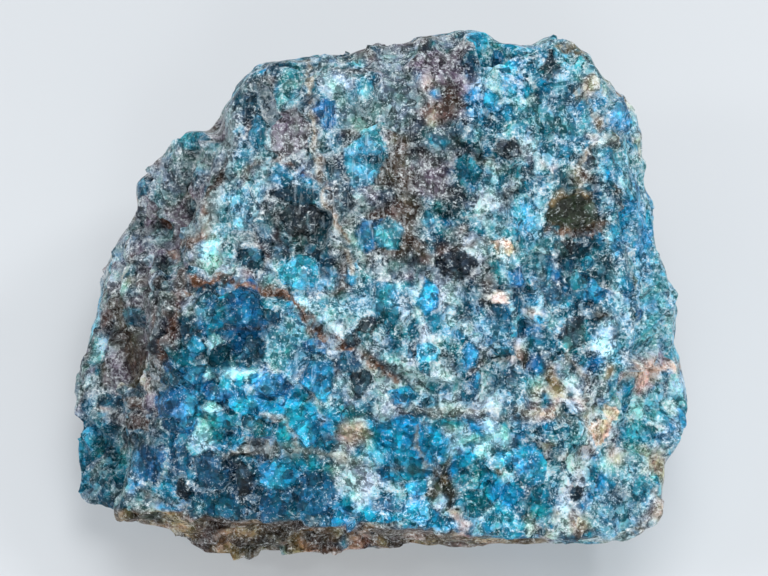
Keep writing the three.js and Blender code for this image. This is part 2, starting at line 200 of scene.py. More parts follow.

# %% [markdown]
# Single crystals catch the eye because they are clear and smooth where the mass round them is
# granular. They could be separate small stones pushed into the surface, but real ones are cut off by
# the same break as everything else, so here they are outlines on it. Each is listed with its finish,
# place, half width, half height and turn in degrees. Its outline is the crossing of five half-planes,
# or of seven if it is large, turned and shifted a little by chance, so that it has straight sides and
# corners as a broken crystal has. Three lines split it into up to eight facets. Each facet gets painted
# light or painted shade, a factor that makes its colour lighter or darker, as if the facets caught the
# light differently. The result is a depth in mm inside the nearest crystal, and the painted light or
# shade of its facet.

# %% Where the single crystals are
CRYSTALS = [
    # finish, right, above, half width, half height, turn
    # the block under the vein and the deep blue crystals below it
    ("deep_teal", -13.2, -4.9, 1.5, 1.4, 0),
    ("deep_teal", -11.2, -1.6, 1.2, 0.9, -10),
    ("royal", -14.6, -1.6, 1.6, 1.1, 0),
    ("azure", -19.0, -4.6, 0.7, 1.2, 0),
    ("ice", -17.2, -4.3, 1.1, 0.7, 10),
    ("deep_teal", -21.2, -7.9, 1.3, 0.9, 0),
    ("royal", -19.0, -7.6, 1.3, 0.9, 0),
    ("royal", -17.0, -9.1, 1.9, 1.3, -15),
    ("royal", -20.8, -10.3, 2.2, 1.8, -10),
    ("royal", -20.4, -12.5, 1.9, 1.0, 0),
    ("royal", -11.4, -8.6, 1.7, 1.3, -20),
    ("ice", -17.3, -10.8, 1.1, 0.5, 8),
    ("cyan", -15.9, -8.3, 0.7, 0.7, 0),
    ("cyan", -14.4, -8.0, 0.6, 0.8, 0),
    ("azure", -13.0, -7.9, 0.7, 0.7, 0),
    ("cyan", -14.0, -10.4, 2.0, 0.8, 4),
    ("teal", -15.9, -12.1, 2.0, 0.9, 0),
    ("deep_teal", -13.5, -12.1, 0.9, 0.9, 0),
    ("azure", -11.4, -10.9, 1.6, 1.1, 0),
    ("teal", -12.2, -13.1, 1.3, 0.9, 15),
    ("cyan", -15.0, -14.2, 1.0, 0.6, 0),
    ("azure", -7.6, -13.4, 1.1, 1.8, 0),
    ("royal", -23.6, -16.4, 1.6, 2.2, 0),
    ("navy", -14.0, -18.0, 1.1, 2.0, 0),
    ("navy", -20.2, -19.0, 0.8, 1.3, 0),
    # round the vein
    ("cyan", -8.4, 2.9, 2.1, 2.0, 15),
    ("deep_teal", -13.2, 4.2, 1.5, 1.2, 0),
    ("azure", -6.6, -8.0, 1.9, 2.2, 0),
    ("royal", -6.8, -4.4, 1.6, 1.2, 0),
    ("navy", -2.4, -8.2, 1.2, 1.5, -15),
    ("inky", -3.6, -6.2, 1.7, 1.0, -30),
    ("slate", -1.7, -2.5, 1.2, 0.9, 30),
    ("navy", -3.3, -4.0, 1.0, 0.9, -10),
    ("teal", 0.4, -0.4, 1.5, 3.1, 14),
    ("azure", -3.3, 2.7, 0.6, 1.4, 0),
    # upper left
    ("plum", -9.6, 16.6, 2.8, 2.4, 0),
    ("smoke", -4.8, 22.0, 2.2, 1.6, 180),
    ("teal", -12.7, 17.0, 0.5, 2.6, -4),
    ("teal", -7.3, 21.2, 0.6, 0.9, 10),
    ("royal", -5.8, 18.6, 1.1, 1.8, 12),
    ("teal", -1.6, 14.2, 2.0, 3.6, -12),
    ("slate", -4.4, 9.8, 1.1, 2.0, 0),
    ("deep_teal", -8.9, 10.6, 2.6, 0.9, 0),
    ("slate", -8.4, 8.2, 2.3, 1.7, 0),
    ("steel", -14.1, 9.1, 2.0, 2.5, 0),
    ("royal", -1.8, 6.3, 1.0, 2.0, 0),
    ("teal", 0.5, 6.6, 1.6, 1.9, 0),
    # upper right
    ("azure", 9.4, 26.0, 1.4, 0.8, 0),
    ("royal", 11.2, 24.8, 0.6, 0.7, 0),
    ("teal", 14.4, 24.8, 2.4, 0.7, 4),
    ("teal", 19.6, 23.9, 0.8, 0.8, 0),
    ("navy", 16.8, 23.1, 1.1, 0.9, 0),
    ("cyan", 12.5, 23.2, 0.9, 0.9, 0),
    ("azure", 10.6, 20.0, 1.0, 1.2, 10),
    ("azure", 12.2, 18.8, 0.7, 1.1, 0),
    ("azure", 14.3, 20.9, 0.6, 0.7, 0),
    ("cyan", 12.8, 21.1, 0.7, 0.7, 0),
    ("slate", 12.4, 15.2, 1.3, 1.2, 0),
    ("slate", 20.6, 14.1, 0.9, 0.9, 0),
    ("teal", 18.2, 14.8, 0.9, 0.9, 0),
    ("deep_teal", 17.6, 12.4, 0.9, 0.6, 0),
    ("steel", 9.2, 16.3, 1.0, 1.0, 0),
    ("teal", 8.3, 13.0, 1.4, 1.7, 0),
    ("azure", 23.9, 18.6, 0.8, 2.2, 14),
    # right
    ("teal", 15.4, 9.9, 0.6, 1.2, 0),
    ("olive", 19.0, 8.8, 3.1, 2.2, -8),
    ("teal", 17.3, 7.3, 0.7, 0.6, 0),
    ("navy", 18.2, 5.3, 1.7, 0.9, 0),
    ("azure", 23.2, 5.8, 0.7, 1.9, 0),
    ("royal", 13.2, 2.2, 1.3, 1.1, 0),
    ("deep_teal", 16.7, 0.5, 1.1, 1.7, 0),
    ("azure", 20.4, 3.9, 0.8, 0.7, 0),
    ("teal", 19.4, 1.8, 1.2, 1.0, 0),
    ("azure", 21.1, 0.9, 0.8, 1.5, 0),
    ("navy", 18.8, -3.4, 1.4, 1.8, 0),
    ("cyan", 15.4, -2.0, 0.5, 0.5, 0),
    ("royal", 25.6, -1.4, 0.6, 0.7, 0),
    # middle
    ("teal", 4.4, 8.1, 0.9, 1.0, 0),
    ("slate", 7.1, 3.8, 2.5, 1.4, 0),
    ("azure", 4.5, 0.3, 1.2, 1.8, 0),
    ("calcite", 12.0, 5.3, 1.0, 0.9, 0),
    ("beige", 11.5, 0.3, 1.2, 0.8, 0),
    ("cyan", 4.4, -5.3, 1.5, 1.1, 0),
    ("azure", 8.8, -5.8, 0.9, 1.3, 0),
    ("azure", 9.3, -8.2, 0.7, 1.0, 0),
    ("teal", 12.1, -5.0, 1.1, 0.7, 0),
    ("azure", 2.0, -9.4, 1.3, 1.2, 20),
    # lower right
    ("calcite", 21.6, -13.2, 0.75, 1.6, -25),
    ("calcite", 22.6, -11.4, 0.6, 0.9, -20),
    ("azure", 14.5, -16.4, 1.9, 2.5, 25),
    ("cyan", 12.0, -16.0, 0.8, 0.9, 0),
    ("teal", 18.0, -11.5, 0.9, 0.8, 0),
    ("azure", 3.2, -18.8, 1.2, 1.0, 0),
    ("inky", 0.6, -20.2, 2.0, 1.0, 0),
    ("teal", 25.3, -13.4, 1.9, 1.4, 0),
    ("teal", 25.5, -19.0, 1.0, 1.6, 0),
    ("navy", 19.2, -19.2, 0.7, 0.8, 0),
    ("umber", 19.0, -21.5, 0.6, 0.7, 0),
    # left flank
    ("teal", -19.2, 16.2, 1.7, 0.9, 20),
    ("deep_teal", -24.0, 11.4, 0.9, 1.0, 0),
    ("slate", -19.4, 9.5, 0.7, 1.0, -15),
    ("deep_teal", -25.0, -1.8, 0.7, 1.2, 0),
    ("cyan", -29.5, -13.5, 0.7, 1.4, 0),
    ("deep_teal", -27.0, -10.2, 1.5, 0.7, 0),
    ("umber", -24.5, -12.2, 1.4, 0.8, 0),
    ("slate", -25.0, -9.2, 2.0, 0.5, 6),
    ("inky", -17.3, -17.0, 2.0, 2.3, 0),
    ("azure", -10.6, -17.4, 2.4, 1.6, 0),
]
FAR = 9.0  # mm, more than any crystal reaches
LARGE = 1.5  # mm of half width from which a crystal has seven sides
SPLITS = 3
CUT_BACK = (0.75, 1.0)  # how near to the middle a side lies, at least and at most
SIDE_TURNS = 0.35  # radians that a side is turned by chance, at most
SPLIT_AWAY = 0.4  # half widths that a line between facets passes the middle by, at most
FACET_PAINTED_LIGHT = (0.62, 1.40)  # painted shade of the darkest facet and painted light of the lightest, against the crystal's colour

rng = np.random.default_rng(7)
crystal_depth = np.full(count, -FAR)
crystal_facet_painted_light = np.ones(count)
crystal = np.full(count, -1)
for i, (name, right, above, half_wide, half_high, turn) in enumerate(CRYSTALS):
    across, upward = (seen - (right, above)).T
    c, s = cos(radians(turn)), sin(radians(turn))
    u = across * c + upward * s
    v = upward * c - across * s
    depth = np.full(count, FAR)
    first_side = rng.uniform(0, 2 * pi / 5)
    sides = 5 if half_wide < LARGE else 7
    for side in range(sides):
        angle = first_side + side * 2 * pi / sides + rng.uniform(-SIDE_TURNS, SIDE_TURNS)
        reach = np.hypot(half_wide * cos(angle), half_high * sin(angle)) * rng.uniform(*CUT_BACK)
        depth = np.minimum(depth, reach - (u * cos(angle) + v * sin(angle)))
    facet = np.zeros(count, int)
    for split in range(SPLITS):
        angle = rng.uniform(0, pi)
        past = rng.uniform(-SPLIT_AWAY, SPLIT_AWAY) * half_wide
        facet += 2**split * (u * cos(angle) + v * sin(angle) > past)
    depth[~in_view] = -FAR
    nearest = depth > crystal_depth
    crystal_depth[nearest] = depth[nearest]
    # each facet's painted light or painted shade, a factor for the crystal's colour
    crystal_facet_painted_light[nearest] = rng.uniform(*FACET_PAINTED_LIGHT, 2**SPLITS)[facet[nearest]]
    crystal[nearest & (depth > 0)] = i
print(len(CRYSTALS), "crystals over", int((crystal >= 0).sum()), "points")

# %% [markdown]
# Everything that follows needs node trees: one for the relief, one for the stone and one for the
# table. One small function adds a node, sets it up and links it, so that each step of a tree is one
# line. Where a step takes another node as it is, the first output of that node feeds it.

# %% A helper for nodes and one for colours
def add(tree, kind, inputs=None, **settings):
    """A node of that kind. Each input is a value, a socket, or a node whose first output feeds it."""
    node = tree.nodes.new(kind)
    for name, value in settings.items():
        setattr(node, name, value)
    for name, value in (inputs or {}).items():
        if isinstance(value, bpy.types.Node):
            value = value.outputs[0]
        if isinstance(value, bpy.types.NodeSocket):
            tree.links.new(value, node.inputs[name])
        else:
            node.inputs[name].default_value = value
    return node

def linear(hex_colour):
    """An sRGB hex colour as linear red, green, blue and alpha."""
    parts = [int(hex_colour[i : i + 2], 16) / 255 for i in (1, 3, 5)]
    return tuple(c / 12.92 if c <= 0.04045 else ((c + 0.055) / 1.055) ** 2.4 for c in parts) + (1.0,)

# %% [markdown]
# Massive apatite breaks along and across its grains, so its surface is a mosaic of small flat faces,
# each tilted its own way and a little higher or lower than the next. A cell pattern gives exactly
# that: every cell gets one tilt and one height. One size of cell would look like tiles, so there are
# three, and chance decides in each large cell whether it stays whole or is broken into smaller ones.
# A displacement texture could do this too, but geometry nodes also keep each grain's middle and a
# number of its own on the mesh, and the colours use the same grains later. The cells are stretched
# a little up the slope, because the grains are.

# %% The broken relief
SIZES = {"lump": 4.4, "grain": 2.2, "chip": 1.05}  # mm across
TILT = {"lump": 0.28, "grain": 0.30, "chip": 0.16}  # rise per mm at most
STEP = {"lump": 0.74, "grain": 0.40, "chip": 0.09}  # mm between the highest and the lowest
LUMPS_WHOLE = 0.20
GRAINS_WHOLE = 0.50
STRETCH = 1.25  # how much longer a grain is up the slope
WAVER = 1.3  # mm that the cells' borders waver
SEAM_WIDTH = 0.30
SEAM_DEPTH = 0.12
CALM_FROM = 0.25  # mm inside a crystal where its surface is at its calmest
CRYSTAL_CALM = 0.75  # how much of the relief is missing on a single crystal
CRYSTAL_RISE = 0.22
FACING_FULL = 0.5  # faces turned out of the slope by more than this keep all the relief
SIDE_RELIEF = 0.34  # the share of the relief that faces turned away from the slope keep

def slope_place(tree, position):
    """A position as mm across the slope, up it and out of it, from the heart."""
    from_heart = {0: position, 1: tuple(HEART)}
    from_heart = add(tree, "ShaderNodeVectorMath", from_heart, operation="SUBTRACT")
    turned = {"Vector": from_heart, "Angle": -SLOPE}
    turned = add(tree, "ShaderNodeVectorRotate", turned, rotation_type="X_AXIS")
    return add(tree, "ShaderNodeVectorMath", {0: turned, "Scale": 1 / MM}, operation="SCALE")

def cell_height(tree, place, size, tilt, step):
    """Height in mm of a mosaic of tilted cells, each cell's centre and a number for each cell."""
    cells = {"Vector": place, "Scale": 1 / size}
    cells = add(tree, "ShaderNodeTexVoronoi", cells, voronoi_dimensions="3D").outputs
    away = {0: place, 1: cells["Position"]}
    away = add(tree, "ShaderNodeVectorMath", away, operation="SUBTRACT")
    lean = {0: cells["Color"], 1: (2 * tilt,) * 3, 2: (-tilt,) * 3}
    lean = add(tree, "ShaderNodeVectorMath", lean, operation="MULTIPLY_ADD")
    tilted = add(tree, "ShaderNodeVectorMath", {0: away, 1: lean}, operation="DOT_PRODUCT")
    chance = {"Vector": cells["Position"]}
    chance = add(tree, "ShaderNodeTexWhiteNoise", chance, noise_dimensions="3D")
    height = {0: chance, 1: step, 2: tilted.outputs["Value"]}
    height = add(tree, "ShaderNodeMath", height, operation="MULTIPLY_ADD")
    return height, cells["Position"], chance

def seam_distance(tree, place, size):
    """Distance in mm to the nearest seam between cells of that size."""
    settings = {"feature": "DISTANCE_TO_EDGE", "voronoi_dimensions": "3D"}
    cells = add(tree, "ShaderNodeTexVoronoi", {"Vector": place, "Scale": 1 / size}, **settings)
    return add(tree, "ShaderNodeMath", {0: cells, 1: size}, operation="MULTIPLY")

def store(tree, geometry, name, value, kind):
    """Keeps a value on the points under a name, and gives the geometry to go on with."""
    inputs = {"Geometry": geometry, "Name": name, "Value": value}
    return add(tree, "GeometryNodeStoreNamedAttribute", inputs, data_type=kind, domain="POINT")

calm = np.clip(crystal_depth / CALM_FROM, 0, 1)
towards = np.clip(facing / FACING_FULL, 0, 1)
lively = (1 - CRYSTAL_CALM * calm) * (SIDE_RELIEF + (1 - SIDE_RELIEF) * towards)
for name, values in {"calm": calm, "lively": lively}.items():
    kept = stone.data.attributes.new(name, "FLOAT", "POINT")
    kept.data.foreach_set("value", values.astype(np.float32))

relief = bpy.data.node_groups.new("broken relief", "GeometryNodeTree")
relief.interface.new_socket("Geometry", in_out="INPUT", socket_type="NodeSocketGeometry")
relief.interface.new_socket("Geometry", in_out="OUTPUT", socket_type="NodeSocketGeometry")
mesh_in = add(relief, "NodeGroupInput")
position = add(relief, "GeometryNodeInputPosition")
in_mm = {0: slope_place(relief, position), 1: (1, 1 / STRETCH, 1)}
in_mm = add(relief, "ShaderNodeVectorMath", in_mm, operation="MULTIPLY")
waver = add(relief, "ShaderNodeTexNoise", {"Vector": in_mm, "Scale": 0.6, "Detail": 3.0})
place = {0: waver.outputs["Color"], 1: (WAVER,) * 3, 2: in_mm}
place = add(relief, "ShaderNodeVectorMath", place, operation="MULTIPLY_ADD")

cells = {size: cell_height(relief, place, SIZES[size], TILT[size], STEP[size]) for size in SIZES}
lump_height, lump_centre, lump_chance = cells["lump"]
grain_height, grain_centre, grain_chance = cells["grain"]
chip_height, chip_centre, _ = cells["chip"]
lump_whole = add(relief, "ShaderNodeMath", {0: lump_chance, 1: LUMPS_WHOLE}, operation="LESS_THAN")
grain_whole = {0: grain_chance, 1: GRAINS_WHOLE}
grain_whole = add(relief, "ShaderNodeMath", grain_whole, operation="LESS_THAN")
centre = {"Factor": grain_whole, "A": chip_centre, "B": grain_centre}
centre = add(relief, "ShaderNodeMix", centre, data_type="VECTOR").outputs["Result"]
centre = {"Factor": lump_whole, "A": centre, "B": lump_centre}
centre = add(relief, "ShaderNodeMix", centre, data_type="VECTOR").outputs["Result"]
chance = add(relief, "ShaderNodeTexWhiteNoise", {"Vector": centre}, noise_dimensions="3D")

# %% [markdown]
# Between two grains the surface dips into a fine groove, a seam. It runs round every cell that is
# really there. A whole cell has none of the smaller seams inside it, so a large distance is added to
# those before the nearest is taken. Two slow noises, clouds and mottles, are kept on the mesh as
# well: no stone is even, and everything that is listed below is made uneven with them.

# %% Seams, heights and the values that the colours need
NO_SEAM = 9.0
WHOLE_DAMPS = -0.7  # how much of the smaller cells' relief is missing on a whole cell
chip_seam = {0: grain_whole, 1: NO_SEAM, 2: seam_distance(relief, place, SIZES["chip"])}
chip_seam = add(relief, "ShaderNodeMath", chip_seam, operation="MULTIPLY_ADD")
grain_seam = {0: seam_distance(relief, place, SIZES["grain"]), 1: chip_seam}
grain_seam = add(relief, "ShaderNodeMath", grain_seam, operation="MINIMUM")
grain_seam = {0: lump_whole, 1: NO_SEAM, 2: grain_seam}
grain_seam = add(relief, "ShaderNodeMath", grain_seam, operation="MULTIPLY_ADD")
seam = {0: seam_distance(relief, place, SIZES["lump"]), 1: grain_seam}
seam = add(relief, "ShaderNodeMath", seam, operation="MINIMUM")
groove = {"Value": seam, "From Max": SEAM_WIDTH, "To Min": -SEAM_DEPTH, "To Max": 0.0}
groove = add(relief, "ShaderNodeMapRange", groove)

broken = {0: lump_whole, 1: WHOLE_DAMPS, 2: 1.0}
broken = add(relief, "ShaderNodeMath", broken, operation="MULTIPLY_ADD")
chipped = {0: grain_whole, 1: WHOLE_DAMPS, 2: 1.0}
chipped = add(relief, "ShaderNodeMath", chipped, operation="MULTIPLY_ADD")
chipped = add(relief, "ShaderNodeMath", {0: chipped, 1: broken}, operation="MULTIPLY")
height = {0: grain_height, 1: broken, 2: lump_height}
height = add(relief, "ShaderNodeMath", height, operation="MULTIPLY_ADD")
height = {0: chip_height, 1: chipped, 2: height}
height = add(relief, "ShaderNodeMath", height, operation="MULTIPLY_ADD")
height = add(relief, "ShaderNodeMath", {0: height, 1: groove}, operation="ADD")
level = {0: height, 1: -sum(STEP.values()) / 2}
level = add(relief, "ShaderNodeMath", level, operation="ADD")
calmness, liveliness = (
    add(relief, "GeometryNodeInputNamedAttribute", {"Name": name}, data_type="FLOAT")
    for name in ("calm", "lively")
)
calmness, liveliness = calmness.outputs["Attribute"], liveliness.outputs["Attribute"]
level = add(relief, "ShaderNodeMath", {0: level, 1: liveliness}, operation="MULTIPLY")
level = {0: calmness, 1: CRYSTAL_RISE, 2: level}
level = add(relief, "ShaderNodeMath", level, operation="MULTIPLY_ADD")
in_metres = add(relief, "ShaderNodeMath", {0: level, 1: MM}, operation="MULTIPLY")
lift = {0: add(relief, "GeometryNodeInputNormal"), "Scale": in_metres}
lift = add(relief, "ShaderNodeVectorMath", lift, operation="SCALE")

clouds = {"Vector": place, "Scale": 0.30, "Detail": 4.0, "Roughness": 0.62}
mottles = {"Vector": place, "Scale": 0.95, "Detail": 3.0, "Roughness": 0.65}
mesh = store(relief, mesh_in, "grain_centre", centre, "FLOAT_VECTOR")
for name, value in {
    "grain_chance": chance,
    "cloud": add(relief, "ShaderNodeTexNoise", clouds),
    "mottle": add(relief, "ShaderNodeTexNoise", mottles),
}.items():
    mesh = store(relief, mesh, name, value.outputs["Color"], "FLOAT_VECTOR")
mesh = store(relief, mesh, "seam", seam, "FLOAT")
moved = add(relief, "GeometryNodeSetPosition", {"Geometry": mesh, "Offset": lift})
add(relief, "NodeGroupOutput", {"Geometry": moved})
stone.modifiers.new("relief", "NODES").node_group = relief
apply_modifiers(stone)

# %% [markdown]
# The stone rests on a flat break. Grains there may be missing, but none may stand out below it, so
# the relief is cut off level. Where a step between two cells meets a side that the camera sees edge
# on, it can leave a single point standing out like a thorn. Averaging each point with its neighbours
# takes those off, a lot on the sides and elsewhere only where a point stands out too far.

# %% Settle the stone on its flat break
SIDES_SMOOTHED = 0.85  # the share of a point's way to the middle of its neighbours
SIDE_FROM = 0.35  # faces turned out of the slope by less than this begin to count as sides
SPIKE = 0.20 * MM  # how far a point may stand off the middle of its neighbours
SPIKE_ROUNDS = 3

pairs = np.zeros(len(stone.data.edges) * 2, np.int32)
stone.data.edges.foreach_get("vertices", pairs)
one_end, other_end = pairs.reshape(-1, 2).T
neighbours = np.bincount(pairs, minlength=count)

def blurred(values, rounds):
    """Values at the points, averaged with their neighbours that many times."""
    for _ in range(rounds):
        total = values.copy()
        for column in range(values.shape[1]):
            total[:, column] += np.bincount(one_end, values[other_end, column], count)
            total[:, column] += np.bincount(other_end, values[one_end, column], count)
        values = total / (neighbours[:, None] + 1)
    return values

points = point_values("position", 3).astype(float)
on_side = np.clip((SIDE_FROM - facing) / SIDE_FROM, 0, 1)[:, None] * SIDES_SMOOTHED
points += (blurred(points, 1) - points) * on_side
for _ in range(SPIKE_ROUNDS):
    off = blurred(points, 1) - points
    length = np.linalg.norm(off, axis=1)[:, None].clip(1e-9)
    points += off * np.clip(1 - SPIKE / length, 0, 1)
points[:, 2] = np.maximum(points[:, 2], 0)
stone.data.vertices.foreach_set("co", points.astype(np.float32).ravel())
stone.data.update()
print("stone from", (points.min(0) / MM).round(1), "to", (points.max(0) / MM).round(1), "mm")

# %% [markdown]
# Each grain has one finish: a colour, and how much of it is covered by the pale frost of crushed
# fragments. Clear grains have little of it, granular ones a lot. One noise from blue to grey would
# give soft clouds of colour, but on the stone the colour changes from grain to grain. So most grains
# take their finish by chance from what is common in that part of the stone, with cloudy borders
# between the parts. The numbers are shares of the grains.

# %% Finishes and where they are common
FINISHES = {
    # name: colour, frost, whether the grain is clear
    "royal": ("#005c86", 0.02, True),
    "azure": ("#0082a8", 0.08, True),
    "cyan": ("#1495b4", 0.20, True),
    "teal": ("#046e84", 0.12, True),
    "deep_teal": ("#00475c", 0.05, True),
    "inky": ("#04506e", 0.18, True),
    "navy": ("#0a2937", 0.02, True),
    "ice": ("#86c3d2", 0.54, False),
    "aqua": ("#3aa4bd", 0.34, False),
    "mint": ("#88a9b0", 0.54, False),
    "steel": ("#38869c", 0.38, False),
    "smoke": ("#58747f", 0.40, False),
    "plum": ("#66616c", 0.36, False),
    "slate": ("#1f323e", 0.18, False),
    "umber": ("#473930", 0.28, False),
    "olive": ("#293026", 0.02, True),
    "rust": ("#80583f", 0.22, False),
    "ochre": ("#8f7850", 0.26, False),
    "calcite": ("#c4a28c", 0.40, False),
    "beige": ("#a99983", 0.44, False),
}
COMMON = {
    "upper_left": dict(
        steel=22, smoke=16, deep_teal=13, teal=13, slate=12, azure=6, mint=9, royal=4, umber=5
    ),
    "upper_middle": dict(
        smoke=18, umber=13, slate=14, plum=10, deep_teal=13, teal=12, mint=11, beige=5, azure=4
    ),
    "upper_right": dict(
        azure=11, teal=16, steel=22, mint=14, deep_teal=12, cyan=5, slate=8, umber=5, olive=3, beige=6
    ),
    "middle": dict(
        mint=18, steel=19, teal=18, smoke=9, slate=6, deep_teal=8, azure=9, ice=8, beige=3, umber=2
    ),
    "middle_right": dict(
        teal=20, deep_teal=15, steel=17, azure=10, mint=10, slate=10, olive=6, royal=6, beige=6
    ),
    "lower": dict(
        azure=22, teal=20, cyan=13, mint=9, steel=8, ice=7, deep_teal=10, beige=4, olive=3, ochre=2
    ),
    "lower_right": dict(
        teal=19, steel=14, deep_teal=10, mint=16, azure=6, ice=7, slate=5, beige=14, olive=6, ochre=5
    ),
    "deep": dict(royal=27, azure=24, deep_teal=15, teal=14, cyan=8, navy=9, ice=2),
    "deep_low": dict(
        inky=16, teal=18, deep_teal=12, slate=10, navy=8, azure=14, steel=12, mint=8, ochre=3
    ),
    "left": dict(
        umber=9, plum=15, slate=9, smoke=18, deep_teal=9, steel=13, ice=5, beige=9, mint=13
    ),
    "left_low": dict(
        teal=20, deep_teal=20, azure=14, slate=12, smoke=10, steel=10, mint=8, umber=6
    ),
    "right": dict(steel=30, azure=18, ice=18, aqua=14, mint=10, smoke=6, beige=4),
    "foot": dict(umber=17, ochre=24, rust=6, olive=7, slate=8, beige=32, teal=6),
    "back": dict(
        teal=17, smoke=14, azure=12, deep_teal=13, steel=12, slate=9, umber=7, mint=7, olive=4, rust=5
    ),
}
# Edges between the parts, in mm: above and right for the ridges, right and above for the foot.
LEFT_RIDGE = [(-22, -17), (-17, -22), (-7, -22.5), (4.5, -19), (8.5, -17), (15, -15.2), (20, -15.7)]
RIGHT_RIDGE = [(-20, 20.0), (-10, 22.0), (-3, 25.5), (5, 24.0), (13, 23.0), (22, 21.8)]
FOOT_EDGE = [(-22, -21.0), (-17, -22.0), (0, -22.8), (7, -23.3), (12, -23.7), (18, -24.6)]
BORDER_CLOUDS = 6  # how far the borders between the parts wander with the clouds
EDGE_WAVER = 3  # and the ridges with the finer noise
FRONT_FROM = -9  # mm out of the slope, below which a point is on the back
FOOT_ENDS = 18

def along(line, value):
    """The second number of a line of pairs, read off at a value of the first."""
    first, second = zip(*line)
    return np.interp(value, first, second)

def point_noise(name):
    """A noise on the points, as three numbers about zero."""
    return point_values(name, 3) - 0.5

grain_centre = point_values("grain_centre", 3) * np.array([1, STRETCH, 1])
chance = point_values("grain_chance", 3)
cloud = point_noise("cloud")
mottle = point_noise("mottle")
seam = point_values("seam", 1)[:, 0]
right, above = (seen_places(grain_centre) + cloud[:, :2] * BORDER_CLOUDS).T
front = places[:, 2] > FRONT_FROM
waver = mottle[:, 0] * EDGE_WAVER
left_of_ridge = seen[:, 0] < along(LEFT_RIDGE, seen[:, 1]) + waver
right_of_ridge = seen[:, 0] > along(RIGHT_RIDGE, seen[:, 1]) + waver
under_foot = (seen[:, 1] < along(FOOT_EDGE, seen[:, 0])) & (seen[:, 0] < FOOT_ENDS)
region = np.full(count, "back", dtype=object)
for name, here in {
    "lower": above < -11,
    "lower_right": (above < -6) & (right > 15),
    "middle": (above >= -11) & ~((above < -6) & (right > 15)),
    "middle_right": (above > -6) & (right > 12),
    "upper_left": (above > 3) & (right < -4),
    "upper_middle": (above > 3) & (right >= -4) & (right < 9),
    "upper_right": (above > 12) & (right >= 7),
    "deep": (right < -9) & (above < -6),
    "deep_low": (right < -6) & (above < -15),
    "left": left_of_ridge & (above > -10),
    "left_low": left_of_ridge & (above <= -10),
    "right": right_of_ridge,
}.items():
    region[front & here] = name
region[front & under_foot] = "foot"
names = list(FINISHES)
finish = np.zeros(count, int)
for name, common in COMMON.items():
    here = region == name
    shares = np.cumsum(list(common.values())) / sum(common.values())
    picked = np.searchsorted(shares, chance[here, 0].clip(0, 0.999))
    finish[here] = np.array([names.index(n) for n in common])[picked]
print({name: int((region == name).sum()) for name in COMMON})

# %% [markdown]
# Some places have one kind of grain, such as a pocket of white fragments or a dull grey face. They
# could be painted, but then their borders would cut through grains. A patch is a block with rounded
# corners and the share of its grains that take the finish. Whole grains take it, so the patch gets
# the grains' own borders and not those of the block.

